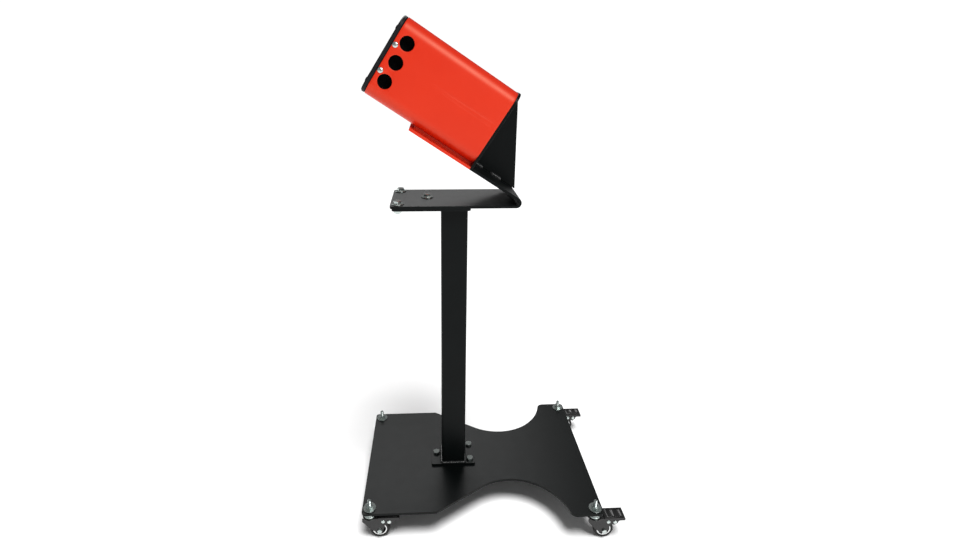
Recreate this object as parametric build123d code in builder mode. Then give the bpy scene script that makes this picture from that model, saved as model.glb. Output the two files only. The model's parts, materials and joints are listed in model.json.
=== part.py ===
from build123d import *
import math
import os

os.makedirs("parts", exist_ok=True)

# ---------------------------------------------------------------- driving sizes
# Z = 0 is the floor, Y = 0 the plane of symmetry, X = 0 the middle of the overall length;
# the bracket opens toward -X and the casters trail toward +X
post_x = -93.75                  # post axis
sheet = 6.0                      # thickness of every black steel plate
post_side = 63.5                 # square post, outside: 2 1/2 inch tube
post_wall = 3.0
post_len = 735.0
caster_h = 77.0                  # floor to underside of the base plate

base_left, base_right = post_x - 233.0, post_x + 365.0
base_half = 187.0                # half width at the straight left end
tab_half = 213.0                 # half width at the right hand tabs
taper_x = post_x - 48.0          # where the long sides start to taper in
taper_deg = 32.1
scoop_r = 142.0                  # round scoop in each long side
scoop_x = post_x + 144.5
stem_in = 18.5                   # caster stem, distance in from the plate edges

foot_x, foot_y0, foot_y1 = 120.0, -37.0, 48.0
bracket_half = 83.5              # half width of the bracket plates
flange_x0, flange_x1 = post_x - 144.0, post_x + 35.0
leg_left = post_x - 148.0        # left end of the horizontal bracket leg
apex_x = post_x + 157.0          # where the two inner faces of the bracket would meet
bend_r = 6.0                     # inner radius of the fold
tilt = 33.0                      # slope of the upper leg and the housing
leg_len = 152.0                  # sloped leg, from the apex to its upper end

house_len = 275.5
house_h = 180.0
house_gap = 13.5                 # underside of the sloped leg to underside of the housing
house_r = 28.0
house_wall = 3.0
cap_t = 10.0
spigot = 8.8                     # how far the cap reaches into the housing
hole_d = 31.0
hole_pitch = 44.3
cup_wall = 0.6
cup_deep = 25.0                  # blind cup behind each side opening, from the shell's inner face
rail_len = 157.0
rail_spacer_in = 8.0             # spacer set back from the upper end of the rail
liner_t = 2.0

wheel_r = 25.0
tyre_w = 18.0
trail = 24.0                     # wheel axle behind the swivel axis
cheek_in, cheek_out = 11.3, 13.3
ear_in, ear_out = 13.6, 15.6
bolt_d = 10.0
bolt_flats, bolt_head = 16.0, 6.5
nut_flats, nut_h = 17.0, 8.0
washer_t = 2.5
screw_r, screw_head_r = 2.5, 6.2  # side and cap screws

# ---------------------------------------------------------------- derived levels
base_z = caster_h + sheet
foot_z = base_z + sheet
flange_z = foot_z + post_len
bracket_z = flange_z + sheet
deck_z = bracket_z + sheet
ca, sa = math.cos(math.radians(tilt)), math.sin(math.radians(tilt))
house_s = leg_len                # lower end of the housing, measured up the slope
house_e = house_s + house_len
hole_s = house_e - 25.0
screw_s = house_e - 6.0
house_mid = house_gap + house_h / 2
hole_mid = house_mid - 1.0       # height of the middle opening

# frame that follows the slope: x runs up the slope, y is across, z is normal to it
slope = Plane(origin=(apex_x, 0, deck_z), x_dir=(-ca, 0, sa), z_dir=(sa, 0, ca))


def slope_xz(s, v):
    """Point of the XZ plane that lies s up the slope and v above the leg's underside."""
    return (apex_x - s * ca + v * sa, deck_z + s * sa + v * ca)


def cross(s):
    """Plane square to the slope at s: sketch x is across, sketch y is normal to the leg."""
    x, z = slope_xz(s, 0)
    return Plane(origin=(x, 0, z), x_dir=(0, 1, 0), z_dir=(ca, 0, -sa))


def save(name, label):
    name.part.label = label
    export_step(name.part, "parts/" + label + ".step")


def hexagon(flats):
    return flats / math.sqrt(3)


# ---------------------------------------------------------------- fastener places
stem_xy = [(base_left + stem_in, -(base_half - stem_in)), (base_left + stem_in, base_half - stem_in),
           (base_right - stem_in, -(tab_half - stem_in)), (base_right - stem_in, tab_half - stem_in)]
foot_bolt_xy = [(post_x - 46.0, 5.5), (post_x + 46.0, 33.0), (post_x + 46.0, -22.0)]
corner_xy = [(post_x - 131.0, -64.0), (post_x - 131.0, 64.0)]
centre_xy = [(post_x - 64.5, 0.0)]

# ---------------------------------------------------------------- base plate
taper = math.radians(taper_deg)
ux, uy = math.cos(taper), -math.sin(taper)
# the taper runs tangent into the scoop, which fixes the scoop's centre height
scoop_y = base_half + (scoop_x - taper_x) * uy / ux + scoop_r / ux
tangent = (scoop_x - scoop_r * math.sin(taper), scoop_y - scoop_r * math.cos(taper))
edge_x = scoop_x + math.sqrt(scoop_r ** 2 - (scoop_y - tab_half) ** 2)
with BuildPart() as base_plate:
    with BuildSketch(Plane.XY.offset(caster_h)):
        with BuildLine():
            Line((base_left, 0), (base_left, base_half))
            Line((base_left, base_half), (taper_x, base_half))
            Line((taper_x, base_half), tangent)
            ThreePointArc(tangent, (scoop_x, scoop_y - scoop_r), (edge_x, tab_half))
            Line((edge_x, tab_half), (base_right, tab_half))
            Line((base_right, tab_half), (base_right, 0))
            Line((base_right, 0), (base_left, 0))
        make_face()
        mirror(about=Plane.XZ)
    extrude(amount=sheet)
    for x, r in ((base_left, 9), (base_right, 9), (edge_x, 18), (taper_x, 8)):
        fillet(base_plate.edges().filter_by(Axis.Z).filter_by_position(Axis.X, x - 1, x + 1), r)
    with Locations(*[(x, y, caster_h) for x, y in stem_xy + foot_bolt_xy]):
        Cylinder(bolt_d / 2, sheet, align=(Align.CENTER, Align.CENTER, Align.MIN), mode=Mode.SUBTRACT)
save(base_plate, "base_plate")

# ---------------------------------------------------------------- post with its foot and flange
with BuildPart() as foot_plate:
    with BuildSketch(Plane.XY.offset(base_z)):
        with Locations((post_x, (foot_y0 + foot_y1) / 2)):
            RectangleRounded(foot_x, foot_y1 - foot_y0, 5)
        with Locations(*foot_bolt_xy):
            Circle(bolt_d / 2, mode=Mode.SUBTRACT)
    extrude(amount=sheet)
save(foot_plate, "foot_plate")

with BuildPart() as post_tube:
    with BuildSketch(Plane.XY.offset(foot_z)):
        with Locations((post_x, 0)):
            RectangleRounded(post_side, post_side, 5)
            RectangleRounded(post_side - 2 * post_wall, post_side - 2 * post_wall, 2, mode=Mode.SUBTRACT)
    extrude(amount=post_len)
save(post_tube, "post_tube")

with BuildPart() as foot_weld:
    with BuildSketch(Plane.XY.offset(foot_z)):
        with Locations((post_x, 0)):
            RectangleRounded(post_side + 9, post_side + 9, 8)
    with BuildSketch(Plane.XY.offset(foot_z + 6)):
        with Locations((post_x, 0)):
            RectangleRounded(post_side + 2, post_side + 2, 6)
    loft()
    with BuildSketch(Plane.XY.offset(foot_z)):
        with Locations((post_x, 0)):
            RectangleRounded(post_side, post_side, 5)
    extrude(amount=6, mode=Mode.SUBTRACT)
save(foot_weld, "foot_weld")

with BuildPart() as top_flange:
    with BuildSketch(Plane.XY.offset(flange_z)):
        with Locations(((flange_x0 + flange_x1) / 2, 0)):
            RectangleRounded(flange_x1 - flange_x0, 2 * bracket_half - 2, 8)
        with Locations(*(corner_xy + centre_xy)):
            Circle(bolt_d / 2, mode=Mode.SUBTRACT)
    extrude(amount=sheet)
save(top_flange, "top_flange")

# ---------------------------------------------------------------- folded bracket
half_open = math.radians(tilt / 2)
fold_x = apex_x - bend_r / math.tan(half_open)      # centre of the fold
fold_z = deck_z + bend_r
fold_s = bend_r / math.tan(half_open)
with BuildPart() as tilt_bracket:
    with BuildSketch(Plane.XZ.offset(-bracket_half)):
        with BuildLine():
            a, b = (leg_left, deck_z), (fold_x, deck_z)
            c, d = slope_xz(fold_s, 0), slope_xz(leg_len, 0)
            e, f = slope_xz(leg_len, sheet), slope_xz(fold_s, sheet)
            g, h = (fold_x, bracket_z), (leg_left, bracket_z)
            Line(a, b)
            ThreePointArc(b, (fold_x + bend_r, fold_z), c)
            Line(c, d)
            Line(d, e)
            Line(e, f)
            ThreePointArc(f, (fold_x + bend_r + sheet, fold_z), g)
            Line(g, h)
            Line(h, a)
        make_face()
    extrude(amount=2 * bracket_half)
    ends = tilt_bracket.edges().filter_by(Axis.Z)
    fillet(ends.filter_by_position(Axis.X, leg_left - 1, leg_left + 1), 9)
    with Locations(*[(x, y, bracket_z) for x, y in corner_xy + centre_xy]):
        Cylinder(bolt_d / 2, sheet, align=(Align.CENTER, Align.CENTER, Align.MIN), mode=Mode.SUBTRACT)
save(tilt_bracket, "tilt_bracket")

end_top = house_gap + house_h + 1.5
with BuildPart() as end_plate:
    with BuildSketch(cross(leg_len)):
        with Locations((0, (sheet + end_top) / 2)):
            Rectangle(2 * bracket_half, end_top - sheet)
    extrude(amount=sheet)
    top = end_plate.edges().filter_by(lambda q: abs(q.length - sheet) < 0.01).sort_by(Axis.Z)[-2:]
    fillet(top, house_r - 2)
save(end_plate, "end_plate")

gusset_x = post_x + 152.0
gusset_y = 40.0
gusset_top = deck_z + 232.0
foot_v = sheet
with BuildPart() as gusset_plate:
    s_out = leg_len - sheet
    v_top = (gusset_top - deck_z - s_out * sa) / ca
    s_edge = (apex_x + foot_v * sa - gusset_x) / ca
    with BuildSketch(Plane.XZ.offset(-gusset_y - sheet)):
        with BuildLine():
            Polyline(slope_xz(s_out, foot_v), slope_xz(s_out, v_top), (gusset_x, gusset_top),
                     slope_xz(s_edge, foot_v), slope_xz(s_out, foot_v))
        make_face()
    extrude(amount=sheet)
save(gusset_plate, "gusset_plate")

# stitch welds: two short beads along the foot of the gusset on each of its faces
with BuildPart() as gusset_welds:
    for side in (-1, 1):
        face_y = gusset_y if side < 0 else gusset_y + sheet
        for s0, s1 in ((106.0, 138.0), (52.0, 86.0)):
            start = slope_xz(s0, sheet)
            with BuildSketch(Plane(origin=(start[0], face_y, start[1]), x_dir=(0, 1, 0), z_dir=(-ca, 0, sa))):
                with BuildLine():
                    Polyline((0, 0), (side * 6.5, 0), (side * 4.6, -3.4), (0, -6), (0, 0))
                make_face()
            extrude(amount=s1 - s0)
save(gusset_welds, "gusset_welds")


# ---------------------------------------------------------------- hex bolts, washers and nuts
def hex_bolt(x, y, z, length):
    """Head on top at z, shank running down from it."""
    with BuildSketch(Plane.XY.offset(z)) as head_outline:
        with Locations((x, y)):
            RegularPolygon(hexagon(bolt_flats), 6, rotation=12)
    extrude(head_outline.sketch, amount=bolt_head)
    with BuildSketch(Plane.XY.offset(z - length)) as shank:
        with Locations((x, y)):
            Circle(bolt_d / 2 - 0.1)
    extrude(shank.sketch, amount=length)


def ring(x, y, z, outer, height, inner=bolt_d / 2):
    with BuildSketch(Plane.XY.offset(z)) as outline:
        with Locations((x, y)):
            Circle(outer)
            Circle(inner, mode=Mode.SUBTRACT)
    extrude(outline.sketch, amount=height)


def nut(x, y, z, turn=0.0):
    with BuildSketch(Plane.XY.offset(z)) as outline:
        with Locations((x, y)):
            RegularPolygon(hexagon(nut_flats), 6, rotation=turn)
            Circle(bolt_d / 2 - 0.1, mode=Mode.SUBTRACT)
    extrude(outline.sketch, amount=nut_h)


with BuildPart() as foot_bolts:
    for x, y in foot_bolt_xy:
        hex_bolt(x, y, foot_z, 2 * sheet + 11)
save(foot_bolts, "foot_bolts")

with BuildPart() as foot_nuts:
    for x, y in foot_bolt_xy:
        nut(x, y, caster_h - nut_h, turn=15)
save(foot_nuts, "foot_nuts")

with BuildPart() as bracket_washers:
    for x, y in corner_xy + centre_xy:
        ring(x, y, deck_z, 14, washer_t)
save(bracket_washers, "bracket_washers")

with BuildPart() as bracket_bolts:
    for x, y in corner_xy + centre_xy:
        hex_bolt(x, y, deck_z + washer_t, washer_t + 2 * sheet + 10)
save(bracket_bolts, "bracket_bolts")

with BuildPart() as bracket_nuts:
    for x, y in corner_xy + centre_xy:
        nut(x, y, flange_z - nut_h, turn=20)
save(bracket_nuts, "bracket_nuts")


# ---------------------------------------------------------------- housing
def box_ring(outer_y, outer_v, radius, wall):
    """Rounded box section, drawn on a plane square to the slope."""
    with Locations((0, house_mid)):
        RectangleRounded(outer_y, outer_v, radius)
        RectangleRounded(outer_y - 2 * wall, outer_v - 2 * wall, max(radius - wall, 1), mode=Mode.SUBTRACT)


def side_places(s, heights):
    """XZ points at the given heights above the leg's underside, all s up the slope."""
    return [slope_xz(s, v) for v in heights]


hole_v = [hole_mid - hole_pitch, hole_mid, hole_mid + hole_pitch]
screw_v = [hole_mid - 29.5, hole_mid + 29.5]

with BuildPart() as housing_shell:
    with BuildSketch(cross(house_e)):
        box_ring(2 * bracket_half, house_h, house_r, house_wall)
    extrude(amount=house_len)
    with BuildSketch(Plane.XZ.offset(-bracket_half - 1)):
        with Locations(*side_places(hole_s, hole_v)):
            Circle(hole_d / 2)
        with Locations(*side_places(screw_s, screw_v)):
            Circle(screw_r)
    extrude(amount=2 * bracket_half + 2, mode=Mode.SUBTRACT)
save(housing_shell, "housing_shell")

fit_gap = 0.2                    # between the shell and what slides into it
inner_y = 2 * (bracket_half - house_wall - fit_gap)
inner_v = house_h - 2 * (house_wall + fit_gap)
inner_r = house_r - house_wall - fit_gap
cap_screw_yv = [(y, v) for y in (-58.0, 58.0) for v in (hole_mid - 62.0, hole_mid + 61.0)]
with BuildPart() as front_cap:
    with BuildSketch(cross(house_e + cap_t)):
        with Locations((0, house_mid)):
            RectangleRounded(2 * bracket_half - 1, house_h - 1, house_r - 0.5)
    extrude(amount=cap_t)
    rim = front_cap.faces().sort_by(Axis.X)[0].edges()
    chamfer(rim, 2.5)
    with BuildSketch(cross(house_e)):
        box_ring(inner_y, inner_v, inner_r, spigot)
    extrude(amount=spigot)
    with BuildSketch(Plane.XZ.offset(-bracket_half - 1)):
        with Locations(*side_places(screw_s, screw_v)):
            Circle(screw_r)
    extrude(amount=2 * bracket_half + 2, mode=Mode.SUBTRACT)
    with BuildSketch(cross(house_e + cap_t)):
        with Locations(*cap_screw_yv):
            Circle(screw_r)
    extrude(amount=cap_t - 1, mode=Mode.SUBTRACT)
save(front_cap, "front_cap")

with BuildPart() as cap_screws:
    for y, v in cap_screw_yv:
        with BuildSketch(cross(house_e + cap_t)):
            with Locations((y, v)):
                Circle(screw_r)
        extrude(amount=cap_t - 1)
        with BuildSketch(cross(house_e + cap_t + 3)):
            with Locations((y, v)):
                Circle(4.2)
        with BuildSketch(cross(house_e + cap_t)):
            with Locations((y, v)):
                Circle(screw_head_r)
        loft()
save(cap_screws, "cap_screws")

with BuildPart() as side_screws:
    for side in (-1, 1):
        for x, z in side_places(screw_s, screw_v):
            face = Plane(origin=(x, side * bracket_half, z), x_dir=(1, 0, 0), z_dir=(0, side, 0))
            with BuildSketch(face):
                Circle(screw_head_r)
            with BuildSketch(face.offset(2.8)):
                Circle(4.4)
            loft()
            with BuildSketch(face):
                Circle(screw_r - 0.2)
            extrude(amount=-9)
save(side_screws, "side_screws")

with BuildPart() as inner_liner:
    with BuildSketch(cross(house_e - spigot)):
        box_ring(inner_y, inner_v, inner_r, liner_t)
    extrude(amount=house_len - spigot)
    with BuildSketch(Plane.XZ.offset(-bracket_half - 1)):
        with Locations(*side_places(hole_s, hole_v)):
            Circle(hole_d / 2 + 1)
    extrude(amount=2 * bracket_half + 2, mode=Mode.SUBTRACT)
save(inner_liner, "inner_liner")

# a blind dark cup behind each side opening
with BuildPart() as side_cups:
    for side in (-1, 1):
        for x, z in side_places(hole_s, hole_v):
            wall_face = Plane(origin=(x, side * (bracket_half - house_wall), z), x_dir=(1, 0, 0),
                              z_dir=(0, -side, 0))
            with BuildSketch(wall_face):
                Circle(hole_d / 2 + cup_wall)
                Circle(hole_d / 2, mode=Mode.SUBTRACT)
            extrude(amount=cup_deep)
            with BuildSketch(wall_face.offset(cup_deep)):
                Circle(hole_d / 2 + cup_wall)
            extrude(amount=1.5)
save(side_cups, "side_cups")

# ---------------------------------------------------------------- red mounting rail
rail_mid = leg_len + rail_len / 2
with BuildPart() as rail_plate:
    with BuildSketch(slope):
        with Locations((rail_mid, 0)):
            Rectangle(rail_len, 2 * bracket_half)
    extrude(amount=sheet)
save(rail_plate, "rail_plate")

with BuildPart() as rail_spacer:
    with BuildSketch(slope.offset(sheet)):
        with Locations((rail_mid - rail_spacer_in / 2, 0)):
            Rectangle(rail_len - rail_spacer_in, 2 * bracket_half - 50)
    extrude(amount=house_gap - sheet)
save(rail_spacer, "rail_spacer")

with BuildPart() as rail_screws:
    for s in (rail_mid - 50, rail_mid + 50):
        for y in (-45, 45):
            with BuildSketch(slope.offset(-3)):
                with Locations((s, y)):
                    RegularPolygon(hexagon(10), 6)
            extrude(amount=3)
save(rail_screws, "rail_screws")

# ---------------------------------------------------------------- casters: sizes
# heights here are measured from the underside of the base plate, so they are below zero
stud_len = sheet + 24.5          # threaded stem above the plate's underside
flange_r, flange_t = 17.0, 3.0
king_r, king_head_r, king_head_t = 4.5, 7.5, 2.0
fork_top, fork_t = -14.5, 2.5    # top and thickness of the fork's plate
fork_r = 18.0
race_r = 15.0
turn_gap = 0.05                  # radial clearance of everything that turns
pin_r = 3.0                      # axle and rivets
rivet_head_r, rivet_head_t = 4.8, 2.0
axle_z = wheel_r - caster_h
axle_head = 4.5
hub_r, rim_r = 14.5, 18.0        # hub barrel and the inside of the tyre
rivet_1 = (33.0, -24.5)
rivet_2 = (48.5, -23.0)
cheek_line = [(-18.0, -14.5), (-18.0, -23.0), (2.0, -47.0), (17.0, -58.0), (24.0, -60.5), (31.0, -58.0),
              (34.0, -48.0), (38.0, -34.0), (52.0, -32.0), (57.0, -29.0), (58.5, -24.0), (57.5, -18.5),
              (48.0, -14.5)]
pedal_top = -11.0
pedal_t = 3.0
pedal_x0, pedal_x1 = 22.0, 74.0
lip_t, lip_low = 3.0, -19.0      # lip turned down at the pedal's free end
ear_line = [(35.0, -13.0), (36.5, -18.0), (41.0, -19.5), (44.0, -26.5), (48.5, -29.0), (54.0, -27.0),
            (57.0, -21.0), (61.0, lip_low), (pedal_x1, lip_low), (pedal_x1, -13.0)]
shoe_line = [(41.0, -13.5), (43.5, -21.0), (47.0, -36.5), (51.5, -37.0), (54.0, -27.0), (58.0, -13.5)]
shoe_half = 10.5

# ---------------------------------------------------------------- caster hardware on the plate
with BuildPart() as caster_washers:
    for x, y in stem_xy:
        ring(x, y, base_z, 15.5, washer_t, bolt_d / 2 + 0.2)
save(caster_washers, "caster_washers")

with BuildPart() as caster_nuts:
    for i, (x, y) in enumerate(stem_xy):
        nut(x, y, base_z + washer_t, turn=11 * i + 5)
save(caster_nuts, "caster_nuts")

king_low = fork_top - fork_t - 0.3
with BuildPart() as caster_stems:
    for x, y in stem_xy:
        for r, low, high in ((bolt_d / 2 - 0.2, 0.0, stud_len), (flange_r, -flange_t, 0.0),
                             (king_r, king_low, -flange_t), (king_head_r, king_low - king_head_t, king_low)):
            with BuildSketch(Plane.XY.offset(caster_h + low)):
                with Locations((x, y)):
                    Circle(r)
            extrude(amount=high - low)
save(caster_stems, "caster_stems")


# ---------------------------------------------------------------- swivel casters
def caster(tag, cx, cy):
    """One swivel caster whose wheel trails toward +X."""
    def side(y):
        return Plane(origin=(cx, cy + y, caster_h), x_dir=(1, 0, 0), z_dir=(0, -1, 0))

    def disc(x, z, y0, y1, r, bore=0.0):
        with BuildSketch(side(y0)) as outline:
            with Locations((x, z)):
                Circle(r)
                if bore:
                    Circle(bore, mode=Mode.SUBTRACT)
        extrude(outline.sketch, amount=y0 - y1)

    def side_plate(outline_points, y0, y1):
        with BuildSketch(side(y1)) as outline:
            with BuildLine():
                Polyline(*outline_points, close=True)
            make_face()
        extrude(outline.sketch, amount=y1 - y0)

    with BuildPart() as fork:
        with BuildSketch(Plane(origin=(cx, cy, caster_h + fork_top - fork_t))):
            Circle(fork_r)
            with Locations((17, 0)):
                Rectangle(34, 2 * cheek_out)
            Circle(king_r + turn_gap, mode=Mode.SUBTRACT)
        extrude(amount=fork_t)
        side_plate(cheek_line, cheek_in, cheek_out)
        side_plate(cheek_line, -cheek_out, -cheek_in)
        with BuildSketch(side(cheek_out)):
            with Locations(rivet_1, rivet_2, (trail, axle_z)):
                Circle(pin_r)
        extrude(amount=2 * cheek_out, mode=Mode.SUBTRACT)
    save(fork, "fork_" + tag)

    with BuildPart() as race:
        ring(cx, cy, caster_h + fork_top, race_r, -fork_top - flange_t - 0.3, 9)
    save(race, "race_" + tag)

    with BuildPart() as rivets:
        for s in (-1, 1):
            disc(*rivet_1, s * cheek_in, s * cheek_out, pin_r)
            disc(*rivet_1, s * cheek_out, s * (cheek_out + rivet_head_t), rivet_head_r)
            disc(*rivet_2, s * (ear_out + 0.3), s * (ear_out + 0.3 + rivet_head_t), rivet_head_r)
        disc(*rivet_2, -(ear_out + 0.3), ear_out + 0.3, pin_r)
    save(rivets, "rivets_" + tag)

    with BuildPart() as axle:
        disc(trail, axle_z, -17, cheek_out, pin_r)
        for s in (-1, 1):
            with BuildSketch(side(s * cheek_out)):
                with Locations((trail, axle_z)):
                    RegularPolygon(hexagon(10), 6)
            extrude(amount=-s * axle_head)
    save(axle, "axle_" + tag)

    with BuildPart() as tyre:
        disc(trail, axle_z, -tyre_w / 2, tyre_w / 2, wheel_r, rim_r)
        rims = tyre.edges().filter_by(lambda q: abs(q.length - 2 * math.pi * wheel_r) < 0.1)
        fillet(rims, 3)
    save(tyre, "tyre_" + tag)

    with BuildPart() as hub:
        disc(trail, axle_z, -7.5, 7.5, hub_r, pin_r + turn_gap)
        for s in (-1, 1):
            disc(trail, axle_z, s * 7.5, s * 11.0, 6, pin_r + turn_gap)
        disc(trail, axle_z, -5, 5, rim_r, hub_r)
    save(hub, "hub_" + tag)

    with BuildPart() as rings:
        for s in (-1, 1):
            disc(trail, axle_z, s * 5, s * 9.3, rim_r, hub_r)
    save(rings, "wheel_rings_" + tag)

    with BuildPart() as pedal:
        with BuildSketch(Plane(origin=(cx + (pedal_x0 + pedal_x1) / 2, cy, caster_h + pedal_top - pedal_t))):
            Rectangle(pedal_x1 - pedal_x0, 2 * ear_out)
        extrude(amount=pedal_t)
        with BuildSketch(Plane(origin=(cx + pedal_x1 - lip_t / 2, cy, caster_h + lip_low))):
            Rectangle(lip_t, 2 * ear_out)
        extrude(amount=pedal_top - lip_low)
        toe = pedal.edges().filter_by(Axis.Y).group_by(Axis.X)[-1].sort_by(Axis.Z)[-1]
        fillet(toe, 2.5)
        side_plate(ear_line, ear_in, ear_out)
        side_plate(ear_line, -ear_out, -ear_in)
        side_plate(shoe_line, -shoe_half, shoe_half)
        with BuildSketch(side(ear_out + 1)):
            with Locations(rivet_2):
                Circle(pin_r + turn_gap)
        extrude(amount=2 * (ear_out + 1), mode=Mode.SUBTRACT)
    save(pedal, "pedal_" + tag)


for tag, (cx, cy) in zip(("front_left", "rear_left", "front_right", "rear_right"), stem_xy):
    caster(tag, cx, cy)
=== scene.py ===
import json
import math

import bmesh
import bpy
from mathutils import Matrix, Vector, noise

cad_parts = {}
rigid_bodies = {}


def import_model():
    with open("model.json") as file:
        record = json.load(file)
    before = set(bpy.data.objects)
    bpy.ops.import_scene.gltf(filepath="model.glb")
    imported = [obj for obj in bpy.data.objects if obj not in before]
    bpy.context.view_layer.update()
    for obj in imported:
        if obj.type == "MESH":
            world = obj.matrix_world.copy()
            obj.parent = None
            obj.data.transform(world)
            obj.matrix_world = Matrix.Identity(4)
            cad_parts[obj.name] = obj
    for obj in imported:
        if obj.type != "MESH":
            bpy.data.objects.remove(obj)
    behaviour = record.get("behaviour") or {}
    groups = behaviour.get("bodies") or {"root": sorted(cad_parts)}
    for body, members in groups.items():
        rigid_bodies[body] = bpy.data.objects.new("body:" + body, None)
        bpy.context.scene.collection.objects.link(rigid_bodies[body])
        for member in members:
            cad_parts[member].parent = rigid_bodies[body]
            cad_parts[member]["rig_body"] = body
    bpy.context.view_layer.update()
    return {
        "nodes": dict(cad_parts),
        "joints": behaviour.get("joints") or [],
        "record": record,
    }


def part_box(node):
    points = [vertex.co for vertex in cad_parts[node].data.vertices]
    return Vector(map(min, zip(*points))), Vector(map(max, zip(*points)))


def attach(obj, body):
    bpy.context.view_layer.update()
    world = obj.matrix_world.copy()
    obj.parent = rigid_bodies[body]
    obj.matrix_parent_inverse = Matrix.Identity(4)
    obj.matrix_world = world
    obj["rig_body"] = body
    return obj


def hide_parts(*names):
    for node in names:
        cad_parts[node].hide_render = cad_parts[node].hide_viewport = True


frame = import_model()
scene = bpy.context.scene
MM = 0.001
Y_AXIS = Vector((0, 1, 0))
Z_AXIS = Vector((0, 0, 1))
TAGS = ("front_left", "rear_left", "front_right", "rear_right")


# ---------------------------------------------------------------- where things are
def corners(node):
    """Every vertex of a CAD node at rest."""
    return [v.co for v in frame["nodes"][node].data.vertices]


def span(node, direction, origin=Vector((0, 0, 0))):
    """How far a CAD node reaches along a direction, as (least, most)."""
    reach = [(co - origin).dot(direction) for co in corners(node)]
    return min(reach), max(reach)


def welded(node):
    """A bmesh of a CAD node whose split vertices are joined and whose flat faces are whole."""
    bm = bmesh.new()
    bm.from_mesh(frame["nodes"][node].data)
    bmesh.ops.remove_doubles(bm, verts=bm.verts, dist=2e-6)
    bmesh.ops.dissolve_limit(bm, angle_limit=math.radians(0.6), verts=bm.verts, edges=bm.edges)
    return bm


def solids(node):
    """The box (lowest corner, highest corner) of each separate solid in a CAD node."""
    bm = welded(node)
    left, boxes = set(bm.verts), []
    while left:
        group, todo = [], [next(iter(left))]
        left.discard(todo[0])
        while todo:
            vert = todo.pop()
            group.append(vert.co.copy())
            for edge in vert.link_edges:
                other = edge.other_vert(vert)
                if other in left:
                    left.discard(other)
                    todo.append(other)
        low = Vector([min(co[i] for co in group) for i in range(3)])
        high = Vector([max(co[i] for co in group) for i in range(3)])
        boxes.append((low, high))
    bm.free()
    return sorted(boxes, key=lambda box: tuple(round(c, 4) for c in box[0]))


def joint_at(name):
    """A joint's pivot in the row frame."""
    joint = next(j for j in frame["joints"] if j["name"] == name)
    return Vector(joint["pos_m"])


def mount_at(name):
    """A mount's place and direction in the row frame."""
    mount = next(m for m in frame["record"]["mounts"] if m["name"] == name)
    return Vector(mount["pos_m"]), Vector(mount["axis"]).normalized()


def facing(origin, direction, turn=0.0):
    """A placing matrix at origin whose z axis points along direction, turned about it in degrees."""
    spin = Vector(direction).to_track_quat("Z", "Y").to_matrix().to_4x4()
    return Matrix.Translation(origin) @ spin @ Matrix.Rotation(math.radians(turn), 4, "Z")


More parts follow.
